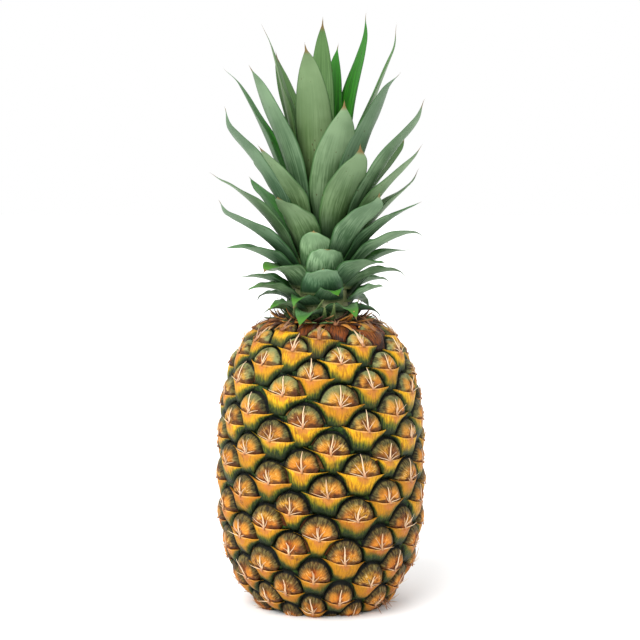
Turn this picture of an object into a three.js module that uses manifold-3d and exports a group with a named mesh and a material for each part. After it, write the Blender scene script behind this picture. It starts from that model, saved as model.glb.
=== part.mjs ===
// A whole ripe pineapple, standing upright: the fused fruit, the stub of its stalk, and the crown of leaves on
// a short stem of its own. Millimetres, +Z up. The origin is the middle of the cut stalk's face, on the surface
// that it stands on.
import * as THREE from "three";
import { mergeVertices } from "three/addons/utils/BufferGeometryUtils.js";
import Module from "manifold-3d";

// The fruit's outline: two half superellipses that meet at its widest height.
const FRUIT_RADIUS = 60;
const WIDEST_Z = 69;
const RISE_ABOVE = 99.7;
const DROP_BELOW = 81.6;
const SHOULDER_ROUNDNESS = 3.3;
const BASE_ROUNDNESS = 2.28;
const FRUIT_TOP_Z = 165.5;
const OUTLINE_STEP = 0.05;
const POLE_MARGIN = 0.0001;

// The fruitlets, one every FRUITLET_RISE of outline, each turned on from the last by nearly the golden angle.
const FRUITLET_RISE = 1.163;
const FRUITLET_TURN = 137.3;
const FRUITLET_PHASE = 7;
const FRUITLET_START = -22;
const FRUITLET_COUNT = 190;
const FRUITLET_PHASE_INDEX = 92;
const SHALLOW_STEP = 8;
const STEEP_STEP = 13;
const EYE_HEIGHT = 1.6;
const GROOVE_DEPTH = 2.2;

// The stalk's stub, snapped off level with the fruit's base, in a recess of its own.
const STALK_RADIUS = 12.5;
const STALK_TOP_RADIUS = 11;
const STALK_LENGTH = 7;
const STALK_SIDES = 24;
const RECESS_RADIUS = 15;
const RECESS_TOP_RADIUS = 13;
const RECESS_OVERSHOOT = 1;
const GAP = 0.35;

// The slabs that cut the fruit level at its base and under its crown, and how close points are to count as one.
const SLAB_SIDE = 200;
const SLAB_DEPTH = 100;
const WELD_DISTANCE = 0.0001;

// The crown's short stem, which tapers as half an ellipse.
const STEM_BASE_Z = FRUIT_TOP_Z + GAP;
const STEM_HEIGHT = 58;
const STEM_RADIUS = 16;
const STEM_SIDES = 20;
const STEM_RINGS = 8;

// The ring of small dry bracts between fruit and crown.
const COLLAR_INNER = STEM_RADIUS + 1;
const COLLAR_OUTER = 23;
const COLLAR_TIP = 28;
const COLLAR_TEETH = 16;
const COLLAR_THICKNESS = 2;
const COLLAR_HOLE_SIDES = 16;

// The leaves: how they sit on the stem, and the shape that they share.
const ROOT_ABOVE_COLLAR = 2;
const ROOT_BELOW_STEM_TOP = 2.5;
const FIRST_LEAF_Z = STEM_BASE_Z + COLLAR_THICKNESS + ROOT_ABOVE_COLLAR;
const LAST_LEAF_Z = STEM_BASE_Z + STEM_HEIGHT - ROOT_BELOW_STEM_TOP;
const LEAF_THICKNESS = 1.1;
const LEAF_GAP = 0.4;
const LEAF_RINGS = 10;
const CHANNEL_RADIUS = 0.58;
const FREE_FROM_STEM = 0.4;
const TIP_FULLNESS = 3.2;
const TIP_THINNING = 0.6;
const HOOK_START = 0.75;
const SLOPE_STEP = 0.01;
const FLAT_SHARE = 0.4;
const LOW_CLASP = 1.3;
const HIGH_CLASP = 0.35;
const FAN_CENTRE_Z = 186;

// The six points of a leaf's section, as shares of its half width and half thickness.
const LEAF_SECTION = [
  [-1, 0],
  [-FLAT_SHARE, -1],
  [FLAT_SHARE, -1],
  [1, 0],
  [FLAT_SHARE, 1],
  [-FLAT_SHARE, 1],
];

// One leaf a line, as [bearing, reach, tip height, width, bow, hook]: the bearing is in degrees round from the front,
// positive to the right; reach is how far the tip stands from the axis; bow is how many degrees steeper than its chord
// the leaf sets off; hook is how far its last quarter turns up, or down if negative.
const LEAVES = [
  // the skirt of short leaves that lie back over the fruit's shoulder
  [-17, 40, 168, 24, 38, -3],
  [86, 36, 171, 20, 38, -3],
  [-88, 34, 172, 18, 38, -2],
  [36, 35, 173, 24, 38, -4],
  [134, 41, 175, 24, 38, -3],
  [-150, 42, 175, 23, 38, -3],
  [-54, 37, 176, 18, 38, -2],
  [16, 36, 185, 23, 36, -3],
  [-108, 41, 180, 18, 38, -2],
  [-28, 35, 180, 21, 38, -4],
  // short leaves that stand out level
  [90, 48, 184, 20, 30, -3],
  [118, 48, 190, 20, 30, -2],
  [-71, 46, 186, 18, 30, -1],
  [-97, 49, 192, 18, 30, -1],
  [-138, 50, 195, 22, 30, -3],
  [158, 50, 194, 23, 30, -3],
  [2, 42, 192, 26, 34, -7],
  [79, 52, 196, 20, 30, -3],
  [-46, 47, 200, 23, 30, -3],
  [47, 50, 203, 24, 24, -3],
  // the stubby leaves stacked up the front, and those round the back at their height
  [8, 40, 205, 26, 30, -7],
  [104, 56, 209, 22, 24, -3],
  [-172, 56, 207, 25, 24, -3],
  [-72, 58, 212, 24, 24, -4],
  [132, 55, 215, 23, 24, -2],
  [-10, 36, 216, 25, 30, -6],
  [76, 63, 221, 23, 24, -4],
  // leaves that stand out at about 45 degrees
  [-146, 58, 230, 25, 16, -2],
  [153, 58, 227, 24, 16, -2],
  [-70, 64, 231, 23, 20, 4],
  [46, 48, 238, 26, 14, 1],
  [-38, 40, 241, 27, 16, -4],
  [76, 60, 237, 22, 18, -2],
  [104, 62, 252, 23, 14, 2],
  [-80, 66, 254, 23, 20, -4],
  [177, 54, 247, 24, 14, -2],
  [-131, 60, 251, 21, 12, 0],
  [72, 62, 266, 22, 14, 2],
  [36, 43, 266, 28, 13, 0],
  [-52, 44, 268, 24, 12, 1],
  [-124, 52, 266, 23, 12, -3],
  [114, 57, 274, 22, 12, 1],
  [-164, 50, 278, 25, 10, -1],
  // the tall inner leaves
  [-74, 62, 286, 23, 13, 1],
  [74, 64, 291, 23, 11, 2],
  [22, 36, 291, 28, 10, 0],
  [62, 48, 310, 27, 9, 1],
  [-60, 45, 314, 24, 8, 0],
  [-102, 56, 317, 22, 9, -1],
  [-138, 40, 328, 22, 7, -3],
  [88, 48, 336, 22, 8, 2],
  [124, 38, 346, 21, 7, 1],
  [156, 28, 331, 18, 5, 0],
  [-20, 27, 326, 27, 6, 0],
  [-99, 33, 340, 22, 5, 0],
  [-178, 11, 344, 18, 2, 0],
];

const deg = THREE.MathUtils.degToRad;
const smooth = THREE.MathUtils.smoothstep;
const wasm = await Module();
wasm.setup();

const materials = {
  rind: new THREE.MeshStandardMaterial({ color: 0xb8862b, roughness: 0.55, metalness: 0 }),
  stalk: new THREE.MeshStandardMaterial({ color: 0xa98a5a, roughness: 0.9, metalness: 0 }),
  stem: new THREE.MeshStandardMaterial({ color: 0xb9c48a, roughness: 0.7, metalness: 0 }),
  bract: new THREE.MeshStandardMaterial({ color: 0x8a5a2c, roughness: 0.85, metalness: 0 }),
  leaf: new THREE.MeshStandardMaterial({ color: 0x5f8f5a, roughness: 0.5, metalness: 0 }),
};

// A point at a bearing round from the front, a distance from the axis and a height.
const around = (bearing, radius, z) =>
  new THREE.Vector3(radius * Math.sin(bearing), -radius * Math.cos(bearing), z);

function geometryFrom(points, faces) {
  const geometry = new THREE.BufferGeometry();
  geometry.setAttribute("position", new THREE.Float32BufferAttribute(points.flatMap((p) => [p.x, p.y, p.z]), 3));
  geometry.setIndex(faces.flat());
  geometry.computeVertexNormals();
  return geometry;
}

// A closed three.js geometry as a solid that can be cut.
function solidFrom(source) {
  const geometry = source.clone();
  geometry.deleteAttribute("normal");
  geometry.deleteAttribute("uv");
  const merged = mergeVertices(geometry, WELD_DISTANCE);
  return new wasm.Manifold(
    new wasm.Mesh({
      numProp: 3,
      vertProperties: merged.attributes.position.array,
      triVerts: new Uint32Array(merged.index.array),
    }),
  );
}

function geometryOf(solid) {
  const mesh = solid.getMesh();
  const geometry = new THREE.BufferGeometry();
  geometry.setAttribute("position", new THREE.BufferAttribute(Float32Array.from(mesh.vertProperties), 3));
  geometry.setIndex(Array.from(mesh.triVerts));
  geometry.computeVertexNormals();
  return geometry;
}

// The fruit's radius at a height.
function fruitRadius(z) {
  const above = z > WIDEST_Z;
  const share = Math.min(above ? (z - WIDEST_Z) / RISE_ABOVE : (WIDEST_Z - z) / DROP_BELOW, 1 - POLE_MARGIN);
  const roundness = above ? SHOULDER_ROUNDNESS : BASE_ROUNDNESS;
  return FRUIT_RADIUS * (1 - share ** roundness) ** (1 / roundness);
}

// The outline walked in short steps, so that a length along it, counted from the surface that it stands on,
// gives a height.
function walkOutline() {
  const walk = [];
  const lowest = WIDEST_Z - DROP_BELOW;
  const highest = WIDEST_Z + RISE_ABOVE;
  let length = 0;
  for (let z = lowest; z < highest; z += OUTLINE_STEP) {
    walk.push({ z, length });
    length += Math.hypot(OUTLINE_STEP, fruitRadius(z + OUTLINE_STEP) - fruitRadius(z));
  }
  const atFloor = walk.find((point) => point.z >= 0).length;
  return (wanted) => {
    const found = walk.find((point) => point.length - atFloor >= wanted);
    return found ? found.z : walk[walk.length - 1].z;
  };
}

// The fruit: a point for each fruitlet, joined to its neighbours up both spirals, with each eye raised and each
// seam sunk.
function makeFruit() {
  const heightAt = walkOutline();
  const onFruit = (bearing, z, raise) => around(bearing, fruitRadius(z) + raise, z);
  const eyes = Array.from({ length: FRUITLET_COUNT }, (_, k) => {
    const index = k + FRUITLET_START;
    const bearing = deg(FRUITLET_PHASE + (index - FRUITLET_PHASE_INDEX) * FRUITLET_TURN);
    return { bearing, z: heightAt(index * FRUITLET_RISE) };
  });
  const points = eyes.map((eye) => onFruit(eye.bearing, eye.z, EYE_HEIGHT));
  const nearBearing = (bearing, near) => bearing - 2 * Math.PI * Math.round((bearing - near) / (2 * Math.PI));
  const sunk = new Map();
  function seamPoint(...corners) {
    const key = [...corners].sort((a, b) => a - b).join();
    if (!sunk.has(key)) {
      const first = eyes[corners[0]].bearing;
      const bearing = corners.reduce((sum, c) => sum + nearBearing(eyes[c].bearing, first), 0) / corners.length;
      const z = corners.reduce((sum, c) => sum + eyes[c].z, 0) / corners.length;
      sunk.set(key, points.push(onFruit(bearing, z, -GROOVE_DEPTH)) - 1);
    }
    return sunk.get(key);
  }
  const faces = [];
  const edges = new Map();
  function addTriangle(a, b, c) {
    const middle = seamPoint(a, b, c);
    [[a, b], [b, c], [c, a]].forEach(([from, to]) => {
      const half = seamPoint(from, to);
      faces.push([from, half, middle], [half, to, middle]);
      const back = to + "," + from;
      if (edges.has(back)) edges.delete(back);
      else edges.set(from + "," + to, [from, half, to]);
    });
  }
  const span = SHALLOW_STEP + STEEP_STEP;
  for (let k = 0; k + span < FRUITLET_COUNT; k++) {
    addTriangle(k, k + SHALLOW_STEP, k + span);
    addTriangle(k, k + span, k + STEEP_STEP);
  }
  const bottom = points.push(new THREE.Vector3(0, 0, WIDEST_Z - DROP_BELOW)) - 1;
  const top = points.push(new THREE.Vector3(0, 0, WIDEST_Z + RISE_ABOVE)) - 1;
  for (const [from, half, to] of edges.values()) {
    const pole = points[from].z < WIDEST_Z ? bottom : top;
    faces.push([half, from, pole], [to, half, pole]);
  }
  const whole = solidFrom(geometryFrom(points, faces));
  const slab = (z) => solidFrom(new THREE.BoxGeometry(SLAB_SIDE, SLAB_SIDE, SLAB_DEPTH).translate(0, 0, z));
  const level = whole.subtract(slab(-SLAB_DEPTH / 2)).subtract(slab(FRUIT_TOP_Z + SLAB_DEPTH / 2));
  const recessHeight = STALK_LENGTH + GAP + RECESS_OVERSHOOT;
  const recess = new THREE.CylinderGeometry(RECESS_TOP_RADIUS, RECESS_RADIUS, recessHeight, STALK_SIDES);
  const cutter = solidFrom(recess.rotateX(Math.PI / 2).translate(0, 0, recessHeight / 2 - RECESS_OVERSHOOT));
  return geometryOf(level.subtract(cutter));
}

function makeStalk() {
  const stalk = new THREE.CylinderGeometry(STALK_TOP_RADIUS, STALK_RADIUS, STALK_LENGTH, STALK_SIDES);
  return stalk.rotateX(Math.PI / 2).translate(0, 0, STALK_LENGTH / 2);
}

// The stem's radius at a height above its own base.
const stemRadius = (rise) => STEM_RADIUS * Math.sqrt(Math.max(0, 1 - (rise / STEM_HEIGHT) ** 2));

function makeStem() {
  const outline = [new THREE.Vector2(0, 0)];
  for (let k = 0; k < STEM_RINGS; k++) {
    const rise = (STEM_HEIGHT * k) / STEM_RINGS;
    outline.push(new THREE.Vector2(stemRadius(rise), rise));
  }
  outline.push(new THREE.Vector2(0, STEM_HEIGHT));
  return new THREE.LatheGeometry(outline, STEM_SIDES).rotateX(Math.PI / 2).translate(0, 0, STEM_BASE_Z);
}

// The collar: a flat ring with a row of short points round its rim.
function makeCollar() {
  const rim = Array.from({ length: 2 * COLLAR_TEETH }, (_, k) => {
    const radius = k % 2 ? COLLAR_OUTER : COLLAR_TIP;
    const angle = (Math.PI * k) / COLLAR_TEETH;
    return new THREE.Vector2(radius * Math.cos(angle), radius * Math.sin(angle));
  });
  const shape = new THREE.Shape(rim);
  shape.holes.push(new THREE.Path().absarc(0, 0, COLLAR_INNER, 0, 2 * Math.PI, true));
  const options = { depth: COLLAR_THICKNESS, bevelEnabled: false, curveSegments: COLLAR_HOLE_SIDES };
  const ring = new THREE.ExtrudeGeometry(shape, options);
  return ring.translate(0, 0, STEM_BASE_Z);
}

// A leaf's width at a share of its length: clasping at the root, fullest near the middle, and drawn out to a point.
function widthShare(t, clasp) {
  const freed = THREE.MathUtils.lerp(clasp, 1, smooth(t, 0, FREE_FROM_STEM));
  return freed * (1 - t ** TIP_FULLNESS);
}

// A leaf: rings of six points along its midrib, each a shallow channel with thin edges, and one point at the tip.
// Near the root the channel wraps round the stem, and further out it is the leaf's own.
function makeLeaf([bearingDegrees, reach, tipZ, width, bow, hook], rootZ, clasp) {
  const bearing = deg(bearingDegrees);
  const outward = around(bearing, 1, 0);
  const sideways = new THREE.Vector3(Math.cos(bearing), Math.sin(bearing), 0);
  const rootReach = stemRadius(rootZ - STEM_BASE_Z) + LEAF_THICKNESS + LEAF_GAP;
  const root = new THREE.Vector2(rootReach, rootZ);
  const tip = new THREE.Vector2(reach, tipZ);
  const chord = tip.clone().sub(root);
  const setOff = Math.atan2(chord.x, chord.y) - deg(bow);
  const bend = new THREE.Vector2(Math.sin(setOff), Math.cos(setOff)).multiplyScalar(chord.length() / 2).add(root);
  const midrib = new THREE.QuadraticBezierCurve(root, bend, tip);
  const hooked = (t) => {
    const p = midrib.getPoint(t);
    const turned = Math.max(0, (t - HOOK_START) / (1 - HOOK_START));
    return new THREE.Vector2(p.x, p.y + hook * turned * turned);
  };
  const points = [];
  const faces = [];
  for (let k = 0; k < LEAF_RINGS; k++) {
    const t = k / LEAF_RINGS;
    const here = hooked(t);
    const along = hooked(t + SLOPE_STEP).sub(hooked(Math.max(0, t - SLOPE_STEP))).normalize();
    const inward = outward.clone().multiplyScalar(-along.y).setZ(along.x);
    const half = (width * widthShare(t, clasp)) / 2;
    const thick = (LEAF_THICKNESS / 2) * (1 - TIP_THINNING * t);
    const free = smooth(t, 0, FREE_FROM_STEM);
    const curl = width * CHANNEL_RADIUS;
    for (const [across, side] of LEAF_SECTION) {
      const x = across * half;
      const wrapped = around(bearing + x / here.x, here.x, here.y);
      const channel = outward.clone().multiplyScalar(here.x).setZ(here.y);
      channel.addScaledVector(sideways, curl * Math.sin(x / curl));
      channel.addScaledVector(inward, curl * (1 - Math.cos(x / curl)));
      points.push(wrapped.lerp(channel, free).addScaledVector(inward, side * thick));
    }
  }
  const end = hooked(1);
  const apex = points.push(around(bearing, end.x, end.y)) - 1;
  const size = LEAF_SECTION.length;
  for (let k = 0; k < LEAF_RINGS; k++) {
    for (let j = 0; j < size; j++) {
      const a = k * size + j;
      const b = k * size + ((j + 1) % size);
      if (k + 1 < LEAF_RINGS) faces.push([a, b, b + size], [a, b + size, a + size]);
      else faces.push([a, b, apex]);
    }
  }
  faces.push([0, 5, 1], [1, 5, 4], [1, 4, 2], [2, 4, 3]);
  return geometryFrom(points, faces);
}

const pineapple = new THREE.Group();
function add(name, geometry, material) {
  const mesh = new THREE.Mesh(geometry, material);
  mesh.name = name;
  pineapple.add(mesh);
}
add("fruit_body", makeFruit(), materials.rind);
add("cut_stalk", makeStalk(), materials.stalk);
add("crown_stem", makeStem(), materials.stem);
add("bract_collar", makeCollar(), materials.bract);

// The steeper a leaf stands, the higher up the stem it grows.
const steepness = ([, reach, tipZ]) => Math.atan2(tipZ - FAN_CENTRE_Z, reach);
const stacked = [...LEAVES].sort((a, b) => steepness(a) - steepness(b));
stacked.forEach((leaf, k) => {
  const share = k / (stacked.length - 1);
  const rootZ = THREE.MathUtils.lerp(FIRST_LEAF_Z, LAST_LEAF_Z, share);
  const clasp = THREE.MathUtils.lerp(LOW_CLASP, HIGH_CLASP, share);
  add("leaf_" + String(k + 1).padStart(2, "0"), makeLeaf(leaf, rootZ, clasp), materials.leaf);
});

export default pineapple;
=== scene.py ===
"""The looks of a whole ripe pineapple: its scaly rind of fused fruitlets, the bract and dry spine
of each one, the stalk's stub, the dry collar, and the crown of leaves. Metres, +Z up, and the front
of the fruit faces -Y."""

import math

import bpy
import numpy as np
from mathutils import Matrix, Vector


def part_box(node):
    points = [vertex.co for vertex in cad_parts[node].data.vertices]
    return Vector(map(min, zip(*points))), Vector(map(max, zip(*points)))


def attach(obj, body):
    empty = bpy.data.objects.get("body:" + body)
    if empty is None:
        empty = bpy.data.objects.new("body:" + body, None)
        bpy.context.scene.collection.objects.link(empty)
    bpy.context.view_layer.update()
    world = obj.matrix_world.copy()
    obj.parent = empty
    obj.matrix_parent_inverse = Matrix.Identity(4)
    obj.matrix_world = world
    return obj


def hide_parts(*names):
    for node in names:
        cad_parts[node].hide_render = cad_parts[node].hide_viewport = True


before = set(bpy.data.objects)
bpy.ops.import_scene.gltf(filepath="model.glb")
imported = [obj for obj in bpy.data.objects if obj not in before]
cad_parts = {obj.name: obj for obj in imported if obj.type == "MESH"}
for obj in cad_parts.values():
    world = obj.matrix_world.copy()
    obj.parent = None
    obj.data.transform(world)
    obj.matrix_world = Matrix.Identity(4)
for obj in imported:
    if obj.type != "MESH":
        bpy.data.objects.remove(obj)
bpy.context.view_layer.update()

MM = 0.001
TAU = 2 * math.pi

# ---- the fruit's outline and its fruitlets' places, in millimetres, as the CAD body has them ----
FRUIT_LOW, FRUIT_HIGH = (np.array(corner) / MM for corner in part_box("fruit_body"))
DOME_HEIGHT = 3.4
GROOVE_DEPTH = 2.0
SKIN_RADIUS = (FRUIT_HIGH[0] - FRUIT_LOW[0]) / 2 - DOME_HEIGHT + 0.2
PAST_FRUIT = 2.8
WIDEST_REACH = FRUIT_HIGH[0] + PAST_FRUIT
FRUIT_TOP = FRUIT_HIGH[2]
WIDEST = 69.0
RISE_ABOVE = 99.7
DROP_BELOW = 81.6
SHOULDER_ROUNDNESS = 3.3
BASE_ROUNDNESS = 2.28
RECESS_RADIUS = 13.6
RECESS_HEIGHT = 7.0
NECK_RADIUS = 17.0
CREST = 6.0
CREST_POINTS = 500
BODY_POINTS = 700
FLAT_POINTS = 60
WALL_POINTS = 8
POLE_MARGIN = 0.02
OUTLINE_STEP = 0.25
SMOOTHING_POINTS = 41

FRUITLET_RISE = 1.163
FRUITLET_TURN = math.radians(137.3)
FRUITLET_PHASE = math.radians(7)
PHASE_INDEX = 92
FIRST_FRUITLET = -15
LAST_FRUITLET = 176
NEIGHBOURS = (8, 21, 13, -8, -21, -13)
EDGE_STEPS = 5
CELL_RINGS = 17
CELL_WIDTH = 12.0
CELL_HEIGHT = 12.4
LIP_HEIGHT = -0.25
EYE_MIDDLE = -0.26
EYE_WIDE = 0.90
EYE_TALL = 1.07
EYE_SQUARENESS = 2.0
EYE_MARGIN = 0.035
PUCKER = -0.14
EDGE_LEVEL = -0.9
BEARING_WANDER = 0.075
LENGTH_WANDER = 3.0


# ---- numbers shared by the shapes ----
def smooth(x, low, high):
    """0 below low, 1 above high, and a smooth cubic step between them."""
    t = np.clip((np.asarray(x, float) - low) / (high - low), 0, 1)
    return t * t * (3 - 2 * t)


def scatter(index, salt):
    """A fixed random number from 0 to 1 for each whole number: the fractional part of a large
    multiple of a sine."""
    wave = np.sin(np.asarray(index, float) * 12.9898 + salt * 78.233)
    return np.modf(np.abs(wave) * 43758.5453)[0]


def ripple(*coordinates, salt):
    """A smooth wavy number from -1 to 1: the mean of five sines, each along its own slanted
    direction."""
    total = 0
    for k in range(5):
        slants = [math.sin(1.7 * k + 2.3 * j + salt) for j in range(len(coordinates))]
        phase = sum(c * slant * (1 + 0.45 * k) for c, slant in zip(coordinates, slants))
        total = total + np.sin(phase + 2.1 * k + salt)
    return total / 5


# ---- meshes ----
def make_piece(name, points, faces, material, replaces, uv, tones):
    """One mesh object from points in millimetres and rows of triangles or quads. uv and tones give,
    for each corner of each face, a pair and a triple of numbers that the materials read."""
    points = np.asarray(points, float) * MM
    mesh = bpy.data.meshes.new(name)
    mesh.vertices.add(len(points))
    mesh.vertices.foreach_set("co", points.astype(np.float32).ravel())
    sizes = np.concatenate([np.full(len(block), block.shape[1]) for block in faces])
    corners = np.concatenate([block.ravel() for block in faces])
    mesh.loops.add(len(corners))
    mesh.loops.foreach_set("vertex_index", corners.astype(np.int32))
    mesh.polygons.add(len(sizes))
    starts = np.concatenate([[0], np.cumsum(sizes)[:-1]])
    mesh.polygons.foreach_set("loop_start", starts.astype(np.int32))
    mesh.polygons.foreach_set("loop_total", sizes.astype(np.int32))
    mesh.update(calc_edges=True)
    mesh.polygons.foreach_set("use_smooth", np.ones(len(sizes), bool))
    mesh.uv_layers.new(name="place").data.foreach_set("uv", np.asarray(uv, np.float32).ravel())
    layer = mesh.attributes.new("tone", "FLOAT_VECTOR", "CORNER")
    layer.data.foreach_set("vector", np.asarray(tones, np.float32).ravel())
    mesh.materials.append(material)
    piece = bpy.data.objects.new(name, mesh)
    bpy.context.scene.collection.objects.link(piece)
    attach(piece, "root")
    if replaces:
        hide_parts(*replaces)
    return piece


def grid_faces(rows, columns, wrap=False):
    """Quads of a grid of points numbered row by row. wrap joins the last column to the first."""
    across = columns if wrap else columns - 1
    row, column = np.meshgrid(np.arange(rows - 1), np.arange(across), indexing="ij")
    after = (column + 1) % columns
    here, next_row = row * columns, (row + 1) * columns
    quads = [here + column, here + after, next_row + after, next_row + column]
    return np.stack(quads, -1).reshape(-1, 4)


def fan_faces(ring, pole, reverse=False):
    """Triangles from each side of a closed ring of point numbers to one pole."""
    after = np.roll(ring, -1)
    sides = (after, ring) if reverse else (ring, after)
    return np.stack([*sides, np.full(len(ring), pole)], -1)


class Batch:
    """Many small shapes gathered into one mesh, each with its own pair and triple for every
    point."""

    def __init__(self):
        self.points, self.blocks, self.uv, self.tones, self.count = [], [], [], [], 0

    def add(self, points, faces, uv, tone):
        """One more shape. No point of it goes lower than the surface that the fruit stands on."""
        points = np.asarray(points, float).reshape(-1, 3)
        self.points.append(np.maximum(points, (-np.inf, -np.inf, 0)))
        self.uv.append(np.broadcast_to(uv, (len(points), 2)))
        self.tones.append(np.broadcast_to(tone, (len(points), 3)))
        self.blocks.extend(block + self.count for block in faces)
        self.count += len(points)

    def build(self, name, material, replaces=()):
        """All the shapes as one piece, its quads before its triangles."""
        quads = [block for block in self.blocks if block.shape[1] == 4]
        triangles = [block for block in self.blocks if block.shape[1] == 3]
        faces = [np.concatenate(blocks) for blocks in (quads, triangles) if blocks]
        corners = np.concatenate([block.ravel() for block in faces])
        uv, tones = np.concatenate(self.uv)[corners], np.concatenate(self.tones)[corners]
        points = np.concatenate(self.points)
        return make_piece(name, points, faces, material, replaces, uv, tones)


def tube_shape(path, radii, sides, flatten, side_hint):
    """A closed tapering tube along a path: round sections at right angles to it, flattened one way,
    with a point at each end. Returns its points and faces."""
    path = np.asarray(path, float)
    along = np.gradient(path, axis=0)
    along /= np.linalg.norm(along, axis=1, keepdims=True)
    first = np.cross(along, side_hint)
    first /= np.linalg.norm(first, axis=1, keepdims=True) + 1e-9
    second = np.cross(along, first)
    turn = np.arange(sides) * TAU / sides
    wide, flat = np.cos(turn)[None, :, None], flatten * np.sin(turn)[None, :, None]
    ring = wide * first[:, None] + flat * second[:, None]
    rings = path[:, None] + np.asarray(radii, float)[:, None, None] * ring
    count = len(path) * sides
    foot = path[:1] - along[:1] * radii[0] * 0.3
    points = np.concatenate([rings.reshape(-1, 3), foot, path[-1:]])
    last = np.arange(sides) + (len(path) - 1) * sides
    faces = [grid_faces(len(path), sides, wrap=True)[:, ::-1]]
    faces += [fan_faces(np.arange(sides), count), fan_faces(last, count + 1, reverse=True)]
    return points, faces


# ---- the fruit's outline ----
def outline_table():
    """The outline as radius, height and outward slope against length along it, counted from the
    surface the fruit stands on. Below that length it runs in across the flat base and up into the
    stalk's recess."""
    body = np.linspace(0, FRUIT_TOP - CREST, BODY_POINTS)
    crest = np.linspace(FRUIT_TOP - CREST, WIDEST + RISE_ABOVE - POLE_MARGIN, CREST_POINTS)
    z = np.concatenate([body, crest])
    above = z > WIDEST
    share = np.where(above, (z - WIDEST) / RISE_ABOVE, (WIDEST - z) / DROP_BELOW)
    power = np.where(above, SHOULDER_ROUNDNESS, BASE_ROUNDNESS)
    radius = SKIN_RADIUS * (1 - np.clip(share, 0, 0.99999) ** power) ** (1 / power)
    keep = radius > NECK_RADIUS
    z, radius = z[keep], radius[keep]
    z = np.minimum(z, FRUIT_TOP - 0.4)
    flat = np.linspace(RECESS_RADIUS + 1.2, radius[0] - 0.6, FLAT_POINTS)
    wall = np.linspace(RECESS_HEIGHT, 0.8, WALL_POINTS)
    radius = np.concatenate([np.full(WALL_POINTS, RECESS_RADIUS), flat, radius])
    z = np.concatenate([wall, np.full(FLAT_POINTS, 0.02), z])
    steps = np.hypot(np.diff(radius), np.diff(z))
    length = np.concatenate([[0], np.cumsum(steps)])
    length -= length[WALL_POINTS + FLAT_POINTS]
    kernel = np.hanning(SMOOTHING_POINTS)[1:-1]
    kernel /= kernel.sum()
    even = np.arange(length[0], length[-1], OUTLINE_STEP)
    radius, z = np.interp(even, length, radius), np.interp(even, length, z)
    spare = len(kernel) // 2
    slope_r = np.convolve(np.pad(np.gradient(z), spare, mode="edge"), kernel, mode="valid")
    slope_z = np.convolve(np.pad(-np.gradient(radius), spare, mode="edge"), kernel, mode="valid")
    size = np.hypot(slope_r, slope_z)
    return even, radius, z, slope_r / size, slope_z / size


OUTLINE = outline_table()


def on_fruit(bearing, length, raised):
    """The point at a bearing round from the front and a length along the outline, raised along the
    outward slope. No point goes lower than the surface that the fruit stands on."""
    even, radius, z, out_r, out_z = OUTLINE
    r = np.interp(length, even, radius) + raised * np.interp(length, even, out_r)
    height = np.interp(length, even, z) + raised * np.interp(length, even, out_z)
    r, height = np.minimum(r, WIDEST_REACH), np.maximum(height, 0.0)
    return np.stack([r * np.sin(bearing), -r * np.cos(bearing), height], -1)


def fruitlet_place(index):
    """Bearing and length along the outline of each fruitlet, with a small fixed wander."""
    bearing = FRUITLET_PHASE + (index - PHASE_INDEX) * FRUITLET_TURN
    bearing = bearing + BEARING_WANDER * (scatter(index, 1) - 0.5)
    return bearing, index * FRUITLET_RISE + LENGTH_WANDER * (scatter(index, 2) - 0.5)


def near(bearing, other):
    """bearing, less the whole turns that part it from the other."""
    return bearing - TAU * np.round((bearing - other) / TAU)


def girth(length):
    """How wide a fruitlet is at a length along the outline, as a share of its width at the fruit's
    widest."""
    return np.interp(length, OUTLINE[0], OUTLINE[1]) / SKIN_RADIUS


INDICES = np.arange(FIRST_FRUITLET, LAST_FRUITLET + 1)
BEARINGS, LENGTHS = fruitlet_place(INDICES)
IN_REACH = LENGTHS < OUTLINE[0][-1] - 2
INDICES, BEARINGS, LENGTHS = INDICES[IN_REACH], BEARINGS[IN_REACH], LENGTHS[IN_REACH]
RANDOM = np.stack([scatter(INDICES, salt) for salt in range(3, 9)], -1)
HEIGHT_SHARE = np.clip(LENGTHS / LENGTHS.max(), 0, 1)


def eye_size(index):
    """Half the width and height of each eye, in cells: rounder near the base, wider and flatter
    towards the crown, with a fixed wander."""
    share = np.clip(index * FRUITLET_RISE / LENGTHS.max(), 0, 1)
    size = 1.0 - 0.06 * smooth(share, 0.5, 1.0) + 0.16 * (scatter(index, 3) - 0.5)
    return EYE_WIDE * size * (1 + 0.12 * share), EYE_TALL * size * (1.03 - 0.17 * share)


EYE_WIDTHS, EYE_HEIGHTS = eye_size(INDICES)


def lip_line(x):
    """The height in its cell of the bract's upper edge: lowest at the middle, rising towards both
    wings, and tilted as the cell is."""
    return LIP_HEIGHT + 0.11 * np.abs(x) ** 1.7 - 0.09 * x


def eye_reach(x, y, wide, tall):
    """1 on an eye's outline, less inside it and more outside: the sum of two powers, of the place
    across over the half width and of the place up over the half height, brought back down by the
    same power."""
    sideways = (np.abs(x) / wide) ** EYE_SQUARENESS
    upright = (np.abs(y - EYE_MIDDLE) / tall) ** EYE_SQUARENESS
    return (sideways + upright) ** (1 / EYE_SQUARENESS)


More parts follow.
